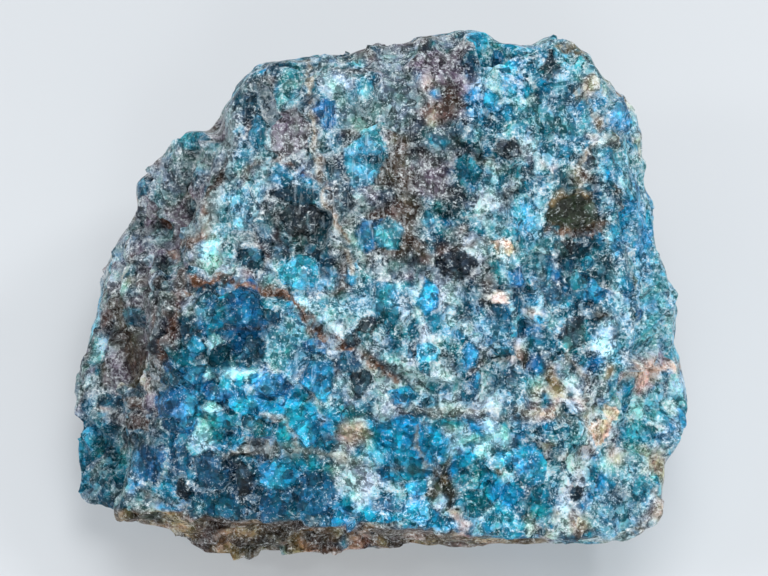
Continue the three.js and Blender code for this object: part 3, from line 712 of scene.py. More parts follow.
# %% Patches with a finish of their own
PATCHES = [
    # finish, share, right, above, half width, half height
    ("deep_teal", 1.00, -14.6, -2.2, 4.4, 4.4),
    ("royal", 0.60, -14.6, -0.8, 4.2, 2.4),
    ("azure", 0.30, -14.6, -1.5, 4.4, 3.4),
    ("steel", 0.16, -14.6, 0.6, 4.2, 1.4),
    ("mint", 0.80, -10.0, -4.7, 1.5, 2.2),
    ("ice", 0.80, -13.3, -6.9, 4.4, 0.7),
    ("ice", 0.90, -17.6, -13.4, 1.2, 1.4),
    ("cyan", 0.60, -10.0, -11.4, 3.2, 2.2),
    ("ice", 0.80, -10.0, -13.7, 1.3, 1.0),
    ("ochre", 0.60, -15.0, -15.3, 1.8, 0.5),
    ("ice", 0.60, -6.0, -1.1, 1.8, 1.3),
    ("beige", 0.70, -1.3, -13.2, 1.8, 1.3),
    ("mint", 0.50, 0.0, -15.5, 6.0, 3.0),
    ("azure", 0.70, 8.0, -13.0, 5.0, 1.7),
    ("cyan", 0.50, 3.0, -13.5, 5.0, 1.8),
    ("ice", 0.40, 8.0, -13.5, 5.0, 1.0),
    ("ice", 0.80, -16.9, 6.0, 1.5, 1.1),
    ("mint", 0.80, -16.8, 4.3, 1.6, 1.0),
    ("azure", 0.60, -10.5, 12.4, 3.8, 1.2),
    ("ice", 0.30, -10.5, 12.4, 3.8, 1.2),
    ("umber", 0.50, -11.6, 6.8, 1.5, 2.0),
    ("aqua", 0.80, -1.8, 20.4, 1.1, 2.8),
    ("aqua", 0.55, 1.1, 21.0, 1.6, 1.4),
    ("plum", 0.55, 3.0, 14.4, 4.6, 3.2),
    ("umber", 0.22, 3.0, 14.4, 4.6, 3.2),
    ("plum", 0.80, 6.6, 22.6, 2.4, 4.2),
    ("umber", 0.50, 6.0, 20.6, 2.4, 2.4),
    ("beige", 0.20, 5.5, 20.0, 2.4, 2.4),
    ("azure", 0.60, 11.6, 21.2, 2.6, 3.0),
    ("ice", 0.25, 12.2, 21.2, 2.6, 3.0),
    ("aqua", 0.80, 18.0, 25.2, 1.2, 1.0),
    ("steel", 0.60, 16.4, 19.0, 1.9, 2.8),
    ("aqua", 0.60, 18.8, 17.2, 2.2, 1.3),
    ("beige", 0.80, 22.2, 16.7, 1.0, 2.2),
    ("umber", 0.60, 20.5, 12.5, 1.8, 0.8),
    ("teal", 0.50, 7.2, 9.4, 3.3, 1.7),
    ("umber", 0.80, 3.6, 6.4, 1.6, 1.3),
    ("deep_teal", 0.70, 7.2, 1.3, 2.6, 1.3),
    ("umber", 0.70, 10.7, 2.9, 1.1, 1.8),
    ("aqua", 0.60, 14.0, 7.6, 1.6, 3.6),
    ("ice", 0.60, 13.6, 6.6, 0.8, 2.2),
    ("teal", 0.60, 18.9, 1.7, 3.6, 2.8),
    ("azure", 0.30, 18.9, 1.7, 3.6, 2.8),
    ("ice", 0.60, 22.6, -2.0, 1.0, 4.0),
    ("steel", 0.85, 27.0, 4.0, 3.0, 8.0),
    ("azure", 0.40, 26.0, 8.0, 2.6, 6.0),
    ("calcite", 0.25, 27.5, -6.5, 2.8, 0.8),
    ("plum", 0.70, 27.0, -5.2, 2.6, 0.8),
    ("smoke", 0.70, 21.5, -6.5, 1.4, 3.4),
    ("ochre", 0.80, 18.1, -7.2, 1.2, 0.9),
    ("beige", 0.45, 16.5, -8.8, 2.4, 1.6),
    ("olive", 0.65, 7.5, -17.8, 3.0, 1.2),
    ("rust", 0.60, 9.5, -17.6, 2.2, 0.7),
    ("ochre", 0.60, 11.2, -18.8, 1.0, 0.8),
    ("beige", 0.45, 18.5, -21.8, 3.5, 1.6),
    ("beige", 0.30, 25.0, -19.5, 4.0, 5.0),
    ("beige", 0.35, 24.0, 20.0, 2.6, 4.5),
    ("smoke", 0.70, -20.4, 13.6, 2.8, 2.2),
    ("rust", 0.65, -18.8, 9.8, 2.1, 2.3),
    ("plum", 0.30, -18.8, 9.8, 2.1, 2.3),
    ("calcite", 0.90, -24.7, 9.6, 0.7, 1.1),
    ("slate", 0.70, -23.3, 8.2, 1.6, 1.6),
    ("ice", 0.80, -23.2, 4.1, 0.8, 0.8),
    ("beige", 0.80, -23.5, 2.7, 0.9, 0.8),
    ("aqua", 0.45, -28.6, -0.2, 1.4, 3.4),
    ("umber", 0.60, -26.0, -1.4, 2.0, 2.2),
    ("umber", 0.70, -21.2, -1.6, 1.4, 3.2),
    ("slate", 0.30, -21.2, -1.6, 1.4, 3.2),
    ("rust", 0.14, -21.2, -1.6, 1.4, 3.2),
    ("beige", 0.80, -24.4, -7.6, 2.2, 0.9),
    ("calcite", 0.80, -24.0, -3.8, 0.9, 0.8),
]
ROUNDED = 3  # 2 would make it an ellipse
right, above = seen_places(grain_centre).T
for name, share, patch_right, patch_above, half_wide, half_high in PATCHES:
    sideways = np.abs((right - patch_right) / half_wide) ** ROUNDED
    upwards = np.abs((above - patch_above) / half_high) ** ROUNDED
    inside = (sideways + upwards < 1) & in_view
    finish[inside & (chance[:, 1] < share)] = names.index(name)
print(len(PATCHES), "patches")

# %% [markdown]
# Clear grains keep their borders, but granular ones run into each other, so their colours are
# averaged along the surface. Crushed fragments gather at the rims of grains, and those get more
# frost. The single crystals come last, over both: their facets get painted light and painted shade,
# the most lit facets are also painted a little milky and pale as a painted sheen, and a ring of crushed
# fragments lies round each.

# %% Colour and frost of every point
GRANULAR_BLUR = 4  # rounds of averaging with the neighbours
CLEAR_BLUR = 1
RIM = 0.26  # mm of frosted rim inside a grain
RIM_FROST = {True: 0.42, False: 0.16}  # on clear and on granular grains
UNEVEN_FROST = {"mottle": 0.55, "cloud": 0.8, "grain": 0.30}
CLEAN = ["deep", "deep_low", "lower"]  # parts with less frost
CLEAN_FROST = -0.12
UNEVEN_TINT = {"mottle": 1.4, "cloud": 1.2}
GREENER = [-0.6, 0.7, -0.5]  # how red, green and blue change towards the greener places
GREENER_RANGE = (-0.15, 0.5)

colours = np.array([linear(FINISHES[name][0])[:3] for name in names])
frosts = np.array([FINISHES[name][1] for name in names])
clear = np.array([FINISHES[name][2] for name in names])
is_clear = clear[finish]
tint = colours[finish]
tint = np.where(is_clear[:, None], blurred(tint, CLEAR_BLUR), blurred(tint, GRANULAR_BLUR))
rim = np.clip(1 - seam / RIM, 0, 1)
frost = frosts[finish] + np.where(is_clear, RIM_FROST[True] * rim, RIM_FROST[False] * rim)
frost = frost + UNEVEN_FROST["mottle"] * mottle[:, 1] + UNEVEN_FROST["cloud"] * cloud[:, 1]
frost = frost + UNEVEN_FROST["grain"] * (chance[:, 2] - 0.5) + CLEAN_FROST * np.isin(region, CLEAN)
tint = tint * (1 + UNEVEN_TINT["mottle"] * mottle[:, :1]) * (1 + UNEVEN_TINT["cloud"] * cloud[:, 2:3])
greener = 1 + np.outer((mottle[:, 2] + cloud[:, 0]).clip(*GREENER_RANGE), GREENER)

CRYSTAL_TINT = {"mottle": 1.6, "cloud": 0.8}
CRYSTAL_FROST = {"rim": 0.40, "mottle": 0.5, "cloud": 0.4}
CRYSTAL_RIM = 0.3  # mm of frosted rim inside a crystal
MILK = 0.16  # how pale the most lit facet of a crystal is painted, a painted sheen
RING_AT = 0.25  # mm outside a crystal, where a frosted ring lies round it
RING_HALF = 0.35
RING_FROST = 0.35

for i, (name, *_) in enumerate(CRYSTALS):
    inside = crystal == i
    # the facet's painted light or shade makes the crystal's colour lighter or darker
    light = crystal_facet_painted_light[inside, None]
    varied = 1 + CRYSTAL_TINT["mottle"] * mottle[inside, :1]
    varied = varied * (1 + CRYSTAL_TINT["cloud"] * cloud[inside, :1])
    tint[inside] = colours[names.index(name)] * varied * light
    rim = np.clip(1 - crystal_depth[inside] / CRYSTAL_RIM, 0, 1)
    frost[inside] = frosts[names.index(name)] + CRYSTAL_FROST["rim"] * rim
    frost[inside] += CRYSTAL_FROST["mottle"] * mottle[inside, 1]
    frost[inside] += CRYSTAL_FROST["cloud"] * cloud[inside, 1]
    milk = MILK * np.clip(light - 1, 0, 1) / (FACET_PAINTED_LIGHT[1] - 1)
    tint[inside] += (colours[names.index("ice")] - tint[inside]) * milk
tint = tint * greener
ring = np.clip(1 - np.abs(crystal_depth + RING_AT) / RING_HALF, 0, 1) * (crystal < 0)
frost += RING_FROST * ring
print(int(is_clear.sum()), "points on clear grains")

# %% [markdown]
# Whole stretches of the stone are darker or lighter than the rest, over all the grains in them. This
# is partly the stone's own tone, with dull faces and deep clear blocks dark and crushed ones light, and
# partly painted shade and painted light, such as the light that shines through thin parts. Light
# through a clear block could be traced, but it would take long and turn out grainy. So each stretch is
# an ellipse with soft borders, a factor for the colour and a change of the frost.

# %% Dark and light stretches: tone, painted shade and painted light
TONE_AND_PAINTED_LIGHT = [
    # factor of tone and painted light or shade, change of frost, right, above, half width, half height
    (0.55, -0.16, -9.0, 8.0, 4.5, 3.5),
    (0.95, -0.24, -14.6, -2.2, 4.8, 4.8),
    (1.08, -0.20, -16.0, -9.5, 5.5, 5.0),
    (1.00, -0.20, -6.0, -10.0, 5.5, 5.5),
    (0.68, -0.14, 6.5, 4.0, 4.5, 3.0),
    (0.80, -0.09, 19.0, 4.0, 4.5, 7.0),
    (0.70, -0.10, -22.5, -2.0, 4.5, 5.0),
    (0.78, -0.09, -20.0, 10.0, 3.5, 4.5),
    (0.70, -0.10, -2.5, -7.5, 3.0, 3.0),
    (0.80, -0.14, -14.0, -17.0, 7.0, 3.0),
    (0.90, -0.14, -27.0, -17.0, 4.0, 6.0),
    (0.75, -0.09, 8.5, 14.0, 4.0, 3.5),
    (0.92, 0.00, 6.5, 22.0, 3.0, 4.0),
    (1.25, 0.09, -2.0, 19.0, 3.5, 6.0),
    (1.35, 0.10, -26.0, 9.0, 5.0, 6.0),
    (1.20, 0.05, -27.5, 0.0, 3.0, 6.0),
    (1.20, 0.08, 26.5, 0.0, 4.0, 15.0),
    (1.00, 0.16, 24.0, 20.0, 3.5, 5.0),
    (1.30, 0.10, -5.5, -1.5, 4.0, 3.5),
    (1.25, 0.05, 5.0, -1.5, 5.0, 4.0),
    (1.12, 0.04, 14.0, 8.0, 2.5, 4.0),
    (1.25, 0.05, 15.0, -2.0, 4.0, 4.0),
    (1.35, 0.12, -13.3, -6.9, 5.0, 1.0),
    (1.15, 0.05, 22.0, -5.0, 2.5, 5.0),
    (1.15, -0.04, 7.0, -13.5, 5.0, 2.5),
    (1.35, 0.09, 2.0, -20.5, 10.0, 3.5),
    (1.12, 0.07, 14.0, -20.0, 5.0, 4.0),
    (1.08, 0.03, 13.0, 22.0, 5.0, 4.0),
    (1.30, 0.10, -17.0, 5.3, 2.0, 2.0),
]
SOFT_BORDER = 1.4  # the change fades from its whole amount at 0.4 to nothing at 1.4
BORDER_MOTTLE = 1.5

def ellipse_distance(right, above, half_wide, half_high):
    """0 in the middle of an ellipse seen from the camera, 1 on its border."""
    return ((seen[:, 0] - right) / half_wide) ** 2 + ((seen[:, 1] - above) / half_high) ** 2

for factor, more_frost, *ellipse in TONE_AND_PAINTED_LIGHT:
    share = SOFT_BORDER - ellipse_distance(*ellipse) + mottle[:, 0] * BORDER_MOTTLE
    share = np.clip(share, 0, 1) * in_view
    tint = tint * (1 + (factor - 1) * share[:, None])
    frost = frost + more_frost * share
print(len(TONE_AND_PAINTED_LIGHT), "stretches, lightness from", min(TONE_AND_PAINTED_LIGHT)[0], "to", max(TONE_AND_PAINTED_LIGHT)[0])

# %% [markdown]
# Lines cross the grains: the rusty vein, the beige edges of the ledges, the thin ridge, and dark
# cracks, as well as a painted shadow in the crevice above the vein and a painted highlight along the
# left ridge. The grooves of the larger ones are in the solid already, and this gives them their stains
# and some of them their painted light.
# A curve laid on the surface would stand out like a thread, so each is a path with a width, which
# the noises make uneven and which wavers, and its finish is laid over the colours.

# %% Lines across the stone
LINES = [
    # finish, strength, width in mm, frost, path
    ("rust", 1.00, 0.34, 0.22, [
        (-19.7, 1.2), (-16.3, 2.4), (-13.9, 1.7), (-9.5, 0.6), (-7.6, -1.5), (-6, -3.1),
        (-3.6, -4.7), (-1.2, -5.9), (1.4, -7.7)
    ]),
    # a painted shadow: the dark line in the crevice just above the rusty vein
    ("navy", 0.80, 0.30, 0.10, [(-2.8, -4.2), (-1.0, -5.6), (0.6, -6.8), (2.6, -8.1)]),
    ("umber", 0.75, 0.40, 0.25, [(-7.4, -1.4), (-7.0, -3.4), (-6.2, -4.4)]),
    ("beige", 0.45, 0.35, 0.50, [
        (1.5, -10.5), (6, -10.8), (12, -10.9), (17, -11.3), (21.5, -11.5)
    ]),
    ("umber", 0.65, 0.30, 0.25, [(1.5, -11.1), (7, -11.4), (14, -11.6), (20, -12.1)]),
    ("beige", 0.55, 0.35, 0.50, [(-15, -15.0), (-10, -15.0), (-4, -15.5)]),
    ("umber", 0.60, 0.30, 0.25, [(-16, -15.4), (-10, -15.5), (-4, -16.0), (4, -17.2)]),
    ("beige", 0.75, 0.28, 0.60, [
        (-7.6, 24), (-7.3, 20), (-6.9, 14), (-6.0, 10), (-4, 6.5), (-3.2, 3.0)
    ]),
    ("rust", 0.45, 0.25, 0.35, [(-6.9, 20), (-6.5, 14), (-5.4, 9.5), (-3.6, 6.0)]),
    # a painted highlight: the pale line along the crest of the left ridge
    ("mint", 0.70, 0.50, 0.40, [
        (-15.9, 20), (-15.6, 15.1), (-15.9, 12.0), (-16.9, 9.4), (-17.9, 7.7), (-19.9, 6.5)
    ]),
    ("rust", 0.80, 0.55, 0.20, [(-17.7, 6.8), (-19.4, 5.6), (-20.9, 4.7)]),
    ("umber", 0.60, 0.18, 0.20, [(-18.6, -3.0), (-15.5, -3.1), (-12.0, -3.0)]),
    ("ochre", 0.80, 0.35, 0.20, [(17.4, 25.0), (18.8, 25.7), (20.0, 25.2)]),
    ("ochre", 0.60, 0.35, 0.35, [(19.0, 21.0), (20.3, 19.8), (21.6, 18.2), (22.2, 15.6)]),
    ("beige", 0.70, 0.30, 0.60, [(21.6, 16.2), (20.4, 15.0), (19.4, 13.4)]),
    ("rust", 0.50, 0.45, 0.35, [(-18.6, 4.6), (-20.4, 1.5), (-21.8, -3.0), (-22.6, -7.5)]),
    ("rust", 0.55, 0.28, 0.40, [
        (-14.6, 11.2), (-13.9, 12.5), (-12.8, 13.7), (-10.5, 14.2), (-7.8, 12.7), (-6.6, 12.1)
    ]),
    ("slate", 0.55, 0.30, 0.25, [(22.3, 18), (23.2, 11), (24.0, 4), (25.2, -3), (24.0, -9)]),
    ("ice", 0.55, 0.35, 0.70, [(21.4, 17), (22.3, 9), (22.9, 3), (23.6, -3)]),
    ("beige", 0.50, 0.30, 0.50, [(18.4, -5.5), (20.4, -8.0), (20.2, -12.5), (19.4, -17.5)]),
    ("ochre", 0.60, 0.30, 0.35, [(3.5, -12.4), (3.0, -14.5), (4.2, -16.4), (6.0, -18.0)]),
    ("ochre", 0.65, 0.25, 0.20, [(16.6, 9.8), (17.4, 10.6), (19, 11.1), (20.8, 10.6)]),
    ("umber", 0.70, 0.40, 0.25, [
        (2.0, 7.4), (2.5, 6.0), (5.4, 5.2), (7.4, 5.3), (9.7, 6.2), (11.3, 5.9)
    ]),
    ("navy", 0.55, 0.25, 0.15, [(2.2, 1.0), (2.4, -1.6), (1.6, -3.2)]),
    ("calcite", 0.50, 0.25, 0.55, [(-12.5, -11.4), (-10.2, -11.8), (-9.2, -13.4), (-8.8, -14.6)]),
    ("rust", 0.60, 0.40, 0.30, [(16.6, 7.0), (18.0, 6.6), (20.5, 6.8), (22.2, 7.8)]),
    ("ice", 0.55, 0.25, 0.70, [(10.8, 14), (11.6, 8), (12.2, 2), (13.2, -3)]),
    ("ice", 0.55, 0.25, 0.70, [(15.0, 16), (15.4, 9), (15.8, 4), (15.4, -1)]),
    ("ice", 0.45, 0.30, 0.70, [(-11.5, 18), (-11.8, 13), (-13.0, 9)]),
    ("umber", 0.70, 0.45, 0.30, [(-17, -22.2), (-8, -22.9), (2, -23.6), (15, -25.2)]),
    ("beige", 0.55, 0.50, 0.50, [(15, -24.6), (20, -25.4), (24, -24.2), (27, -21.6)]),
    ("umber", 0.60, 0.35, 0.30, [(-24.6, -18.8), (-21, -20.6), (-17, -22.0)]),
    ("calcite", 0.80, 0.45, 0.40, [(24.8, -6.3), (27.4, -7.0), (29.6, -6.6)]),
]

def distance_to_path(where, path):
    """Distance in mm from each place to a path of straight pieces."""
    nearest = np.full(len(where), 1e9)
    for start, end in zip(path, path[1:]):
        start, step = np.array(start), np.subtract(end, start)
        share = np.clip((where - start) @ step / (step @ step), 0, 1)
        nearest = np.minimum(nearest, np.linalg.norm(where - start - share[:, None] * step, axis=1))
    return nearest

WAVERING = 1.6  # mm that a line wavers at most
WIDTH_BY = {"cloud": 2.5, "mottle": 3.5}
WIDTHS = (0.1, 2.2)  # the least and the most of its width that a line has
LINE_FADES = 1.5  # widths from its middle where a line ends
COVER = 0.85  # how much of a line is there, and how much that changes along it
COVER_BY = 3.5

wavering = seen + mottle[:, :2] * WAVERING
for name, strength, width, line_frost, path in LINES:
    uneven = 1 + WIDTH_BY["cloud"] * cloud[:, 0] + WIDTH_BY["mottle"] * mottle[:, 2]
    away = distance_to_path(wavering, path) / (width * uneven.clip(*WIDTHS))
    cover = np.clip(LINE_FADES - away, 0, 1) * in_view
    cover = cover * strength * (COVER + COVER_BY * mottle[:, 1]).clip(0, 1)
    tint = tint + (colours[names.index(name)] - tint) * cover[:, None]
    frost = frost + (line_frost - frost) * cover
print(len(LINES), "lines")

# %% [markdown]
# The values reach the material as attributes of the mesh: the colour, the frost, where fine fibres
# run up the slope, and how worn a face is. The worn faces are those that have been open for long, at
# the sides, the foot and the back. What only the steps above needed is taken off the mesh again.

# %% Keep colour, frost, streaks and wear on the stone
STREAKED = [(-3, 12, 7, 13), (-7, -3, 5, 6), (13.5, 5, 3, 9), (-16, 12, 5, 9)]
STREAKS_MOST = 0.7
STREAKS_FADE = 1.3
TINTS = (0.002, 0.9)  # the darkest and the lightest that a stone can be
WORN = ["left", "left_low", "right", "foot", "back"]
WORN_BLUR = 6

away = np.min([ellipse_distance(*ellipse) for ellipse in STREAKED], axis=0)
streaks = (STREAKS_FADE - away).clip(0, 1)
worn = blurred(np.isin(region, WORN).astype(float)[:, None], WORN_BLUR)[:, 0]
tint = np.concatenate([tint.clip(*TINTS), np.ones((count, 1))], 1).astype(np.float32)
kept = stone.data.attributes.new("grain_tint", "FLOAT_COLOR", "POINT")
kept.data.foreach_set("color", tint.ravel())
for name, values in {
    "frost": frost.clip(0, 1),
    "streaks": STREAKS_MOST * streaks * in_view,
    "worn": worn,
}.items():
    kept = stone.data.attributes.new(name, "FLOAT", "POINT")
    kept.data.foreach_set("value", values.astype(np.float32))
for name in ("grain_centre", "grain_chance", "cloud", "mottle", "seam", "lively"):
    stone.data.attributes.remove(stone.data.attributes[name])
print("mean colour", tint[:, :3].mean(0).round(3), "mean frost", round(float(frost.mean()), 2))

# %% [markdown]
# Freshly broken apatite has a glassy lustre with a hint of resin: small sharp highlights on clear
# grains, and a soft bright haze where the surface is crushed. The colour comes from the grains. Over
# it the material lays two finer sizes of fragments, flakes and splinters. Each is tilted its own way,
# and each has painted light or painted shade by chance, a factor that makes its colour lighter or
# darker. Fragments under 0.15 mm are too fine to show in the picture, so the finest, the dust, is
# drawn at 0.17 mm.

# %% Flakes, splinters and dust
FLAKE = 0.80  # mm across, as are the next two
SPLINTER = 0.36
DUST = 0.17
FLAKE_RELIEF = (0.40, 0.14)  # tilt, and mm between the highest and the lowest
SPLINTER_RELIEF = (0.50, 0.06)
FLAKE_PAINTED_LIGHT = {"To Min": 0.40, "To Max": 1.55}  # painted shade of the darkest flake and painted light of the lightest
# the same painted shade and painted light for a splinter
SPLINTER_PAINTED_LIGHT = {"To Min": 0.55, "To Max": 1.45}

apatite = bpy.data.materials.new("massive_blue_apatite")
apatite.use_nodes = True
tree = apatite.node_tree
tree.nodes.clear()
kept = {
    name: add(tree, "ShaderNodeAttribute", attribute_name=name)
    for name in ("grain_tint", "frost", "streaks", "worn", "calm")
}
tint = kept["grain_tint"].outputs["Color"]
frost, streaks, worn, calm = (kept[n].outputs["Fac"] for n in ("frost", "streaks", "worn", "calm"))
place = slope_place(tree, add(tree, "ShaderNodeTexCoord").outputs["Object"])
flake_height, _, flake_chance = cell_height(tree, place, FLAKE, *FLAKE_RELIEF)
splinter_height, _, splinter_chance = cell_height(tree, place, SPLINTER, *SPLINTER_RELIEF)
dust = add(tree, "ShaderNodeTexVoronoi", {"Vector": place, "Scale": 1 / DUST}, voronoi_dimensions="3D")
dust = {"Vector": dust.outputs["Position"]}
dust_chance = add(tree, "ShaderNodeTexWhiteNoise", dust, noise_dimensions="3D")
flake_painted_light = add(tree, "ShaderNodeMapRange", {"Value": flake_chance, **FLAKE_PAINTED_LIGHT})
splinter_painted_light = add(tree, "ShaderNodeMapRange", {"Value": splinter_chance, **SPLINTER_PAINTED_LIGHT})
# painted light and shade of flake and splinter together, a factor for the grain's colour
shade = add(tree, "ShaderNodeMath", {0: flake_painted_light, 1: splinter_painted_light}, operation="MULTIPLY")
varied = add(tree, "ShaderNodeVectorMath", {0: tint, "Scale": shade}, operation="SCALE")

# %% [markdown]
# The frost is a crust of tiny crushed fragments. It lies where a grainy mixture is high enough, and
# the frost value of the place says how high that is: the mixture has a fine noise, the dust, thin
# threads like the edges of fractures, and chance by flake and by splinter, so that it often stops at
# the border of a fragment. On fresh faces it ends sharply, on worn ones softly. Where it is thickest
# it is painted near white, a painted highlight.

# %% Where the frost lies
THREADS = 0.30  # how much a fracture edge adds to the mixture
THREAD_WIDTH = 0.022  # how near to its middle value the noise of the threads has to be
DUST_SHARE = 0.16
FINE_SHARE = 0.85
SPLINTER_SHARE = 0.14
FLAKE_SHARE = 0.16
BARE = {"To Min": 1.14, "To Max": 0.50}  # what the mixture has to reach, without and with full frost
EDGE = {"To Min": 0.05, "To Max": 0.22}  # half the width of the frost's edge, fresh and worn

fine = {"Vector": place, "Scale": 2.3, "Detail": 6.0, "Roughness": 0.84}
fine = add(tree, "ShaderNodeTexNoise", fine)
fine = add(tree, "ShaderNodeMapRange", {"Value": fine, "From Min": 0.36, "From Max": 0.64})
thread = {"Vector": place, "Scale": 1.5, "Detail": 3.0, "Roughness": 0.6}
thread = add(tree, "ShaderNodeTexNoise", thread)
thread = add(tree, "ShaderNodeMath", {0: thread, 1: 0.5, 2: THREAD_WIDTH}, operation="COMPARE")
grainy = add(tree, "ShaderNodeMath", {0: thread, 1: THREADS}, operation="MULTIPLY")
for part, share in (
    (dust_chance, DUST_SHARE),
    (fine, FINE_SHARE),
    (splinter_chance, SPLINTER_SHARE),
    (flake_chance, FLAKE_SHARE),
):
    grainy = add(tree, "ShaderNodeMath", {0: part, 1: share, 2: grainy}, operation="MULTIPLY_ADD")
bare = add(tree, "ShaderNodeMapRange", {"Value": frost, **BARE})
over = add(tree, "ShaderNodeMath", {0: grainy, 1: bare}, operation="SUBTRACT")
edge = add(tree, "ShaderNodeMapRange", {"Value": worn, **EDGE})
below = add(tree, "ShaderNodeMath", {0: edge, 1: -1.0}, operation="MULTIPLY")
frosted = add(tree, "ShaderNodeMapRange", {"Value": over, "From Min": below, "From Max": edge})

# %% [markdown]
# Some flakes are cloudy all through, like milk in water, and on a few faces fine pale fibres run up
# the slope. The milky flakes are the ones with the most painted light, so their paleness is partly
# milk and partly a painted sheen. Frost, fibres and milky flakes are all one pale film of the grain's
# own colour, so the strongest of the three counts at each place.

# %% The colour of the surface
FIBRES = (2.2, 0.32, 2.2)  # stretches the noise seven times up the slope
MILKY_AND_SHEEN = {"From Min": 0.6, "To Max": 0.9}  # from which chance a flake is milky and painted with sheen, and how much at most
FILM_KEEPS = 1.2  # of the grain's colour
FILM_ADDS = (0.45, 0.50, 0.52)
FILM_MOST = 0.85
# where the frost is painted near white as a glint, a painted highlight
PAINTED_GLINTS = {"From Min": 0.18, "From Max": 0.44}

combed = add(tree, "ShaderNodeVectorMath", {0: place, 1: FIBRES}, operation="MULTIPLY")
fibres = {"Vector": combed, "Scale": 1.0, "Detail": 4.0, "Roughness": 0.65}
fibres = add(tree, "ShaderNodeTexNoise", fibres)
fibres = add(tree, "ShaderNodeMapRange", {"Value": fibres, "From Min": 0.54, "From Max": 0.66})
fibres = add(tree, "ShaderNodeMath", {0: fibres, 1: streaks}, operation="MULTIPLY")
# the flakes with the most painted light turn pale: partly milk, partly a painted sheen
milky_and_sheen = add(tree, "ShaderNodeMapRange", {"Value": flake_chance, **MILKY_AND_SHEEN})
milky_and_sheen = add(tree, "ShaderNodeMath", {0: milky_and_sheen, 1: frost}, operation="MULTIPLY")
pale = add(tree, "ShaderNodeMath", {0: frosted, 1: fibres}, operation="MAXIMUM")
pale = add(tree, "ShaderNodeMath", {0: pale, 1: milky_and_sheen}, operation="MAXIMUM")
pale = add(tree, "ShaderNodeMath", {0: pale, 1: FILM_MOST}, operation="MULTIPLY")
film = {0: tint, 1: (FILM_KEEPS,) * 3, 2: FILM_ADDS}
film = add(tree, "ShaderNodeVectorMath", film, operation="MULTIPLY_ADD")
coloured = {"Factor": pale, "A": varied, "B": film}
coloured = add(tree, "ShaderNodeMix", coloured, data_type="RGBA").outputs["Result"]
# painted glint: the thickest frost is painted near white as a highlight
painted_glint = add(tree, "ShaderNodeMapRange", {"Value": over, **PAINTED_GLINTS})
coloured = {"Factor": painted_glint, "A": coloured, "B": linear("#f6fbfc")}
coloured = add(tree, "ShaderNodeMix", coloured, data_type="RGBA").outputs["Result"]

# %% [markdown]
# Apatite's index of refraction is 1.63. A crushed surface throws its highlights in all directions, so
# the specular level is low and the gloss changes from splinter to splinter, from bright breaks to
# matt frost. The tilts of flakes and splinters are laid on as bumps, less on the calm single crystals.

# %% The apatite
GLOSS = {"To Min": 0.10, "To Max": 0.40}  # roughness of a bare splinter
FROST_ROUGH = 0.55
FINE_BUMP = 0.06  # mm
BUMPS = {"To Min": 0.85, "To Max": 0.50}  # strength in the mass and on a crystal

bumps = add(tree, "ShaderNodeMath", {0: flake_height, 1: splinter_height}, operation="ADD")
bumps = add(tree, "ShaderNodeMath", {0: fine, 1: FINE_BUMP, 2: bumps}, operation="MULTIPLY_ADD")
strength = add(tree, "ShaderNodeMapRange", {"Value": calm, **BUMPS})
bump = add(tree, "ShaderNodeBump", {"Height": bumps, "Distance": MM, "Strength": strength})
gloss = add(tree, "ShaderNodeMapRange", {"Value": splinter_chance, **GLOSS})
rough = {"Factor": frosted, "A": gloss, "B": FROST_ROUGH}
rough = add(tree, "ShaderNodeMix", rough, data_type="FLOAT")
surface = {
    "Base Color": coloured,
    "Roughness": rough.outputs["Result"],
    "IOR": 1.63,
    "Specular IOR Level": 0.15,
    "Normal": bump,
}
surface = add(tree, "ShaderNodeBsdfPrincipled", surface)
add(tree, "ShaderNodeOutputMaterial", {"Surface": surface})
stone.data.materials.clear()
stone.data.materials.append(apatite)
stone.data.shade_flat()
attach(stone, "root")
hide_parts("apatite_stone")
print(len(tree.nodes), "nodes in the material,", len(relief.nodes), "in the relief")

# %% [markdown]
# The stone lies on a pale matt board lit so evenly that it hardly takes a shadow. In a studio such a
# board is often lit from below as well, so it glows a little by itself here. Painted board is never
# quite even, so a faint slow noise moves its colour. One lamp would leave hard shadows between the
# grains, so the light is a bright room and large soft boxes, and the smaller ones at the front and
# the sides give the glints on the fragments.

# %% Table and light
TABLE_BELOW = -0.02 * MM  # so that two level faces never share a place
TABLE_HALF = 2.0  # metres
ROOM = linear("#e8ecf0")
ROOM_LIGHT = 0.32
BOARD_GLOW = 0.28

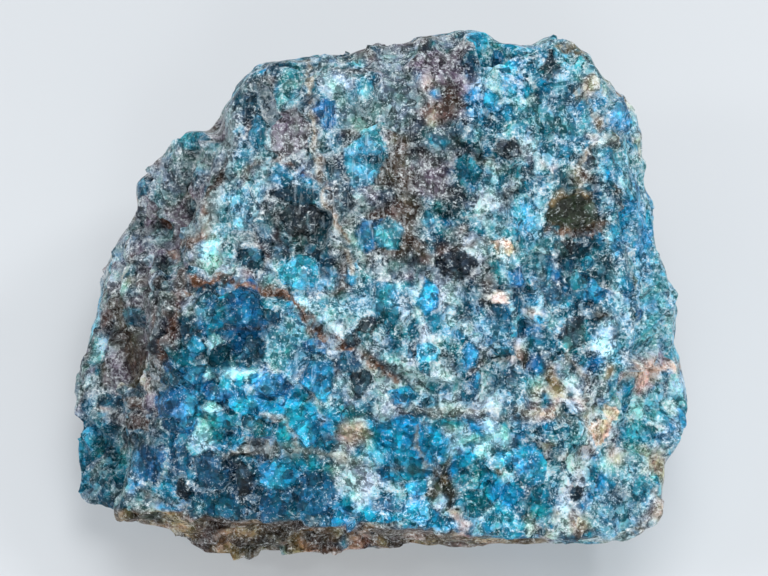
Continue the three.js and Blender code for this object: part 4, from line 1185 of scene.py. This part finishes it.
table_mesh = bmesh.new()
lowered = Matrix.Translation((0, 0, TABLE_BELOW))
bmesh.ops.create_grid(table_mesh, x_segments=1, y_segments=1, size=TABLE_HALF, matrix=lowered)
table = bpy.data.objects.new("pale_table", bpy.data.meshes.new("pale_table"))
table_mesh.to_mesh(table.data)
table_mesh.free()
bpy.context.scene.collection.objects.link(table)
paint = bpy.data.materials.new("pale_matt_board")
paint.use_nodes = True
board = paint.node_tree
board.nodes.clear()
where = add(board, "ShaderNodeTexCoord").outputs["Object"]
uneven = add(board, "ShaderNodeTexNoise", {"Vector": where, "Scale": 9.0, "Detail": 3.0})
painted = {"Factor": uneven, "A": linear("#aeb2b7"), "B": linear("#b2b6b9")}
painted = add(board, "ShaderNodeMix", painted, data_type="RGBA").outputs["Result"]
matt = {
    "Base Color": painted,
    "Roughness": 0.8,
    "Emission Color": ROOM,
    "Emission Strength": BOARD_GLOW,
}
matt = add(board, "ShaderNodeBsdfPrincipled", matt)
add(board, "ShaderNodeOutputMaterial", {"Surface": matt})
table.data.materials.append(paint)

world = bpy.data.worlds.new("studio")
bpy.context.scene.world = world
world.use_nodes = True
background = world.node_tree.nodes["Background"].inputs
background["Color"].default_value = ROOM
background["Strength"].default_value = ROOM_LIGHT

LIGHTS = {
    # name: place in mm from the stone, width in mm, power in watts
    "ceiling": ((60, 80, 420), 300, 1.10),
    "left_window": ((-380, 60, 260), 260, 0.15),
    "left_spark": ((-300, -120, 330), 70, 0.25),
    "right_spark": ((260, 60, 340), 70, 0.40),
    "front_spark": ((30, -300, 300), 70, 0.20),
    "low_front": ((0, -400, 200), 280, 0.60),
}
for name, (offset, width, power) in LIGHTS.items():
    lamp = bpy.data.objects.new(name, bpy.data.lights.new(name, "AREA"))
    lamp.data.size = width * MM
    lamp.data.energy = power
    lamp.location = Vector(offset) * MM
    lamp.rotation_euler = (HEART - lamp.location).to_track_quat("-Z", "Y").to_euler()
    bpy.context.scene.collection.objects.link(lamp)
print(len(LIGHTS), "lamps")

bpy.context.scene.view_settings.view_transform = "Standard"
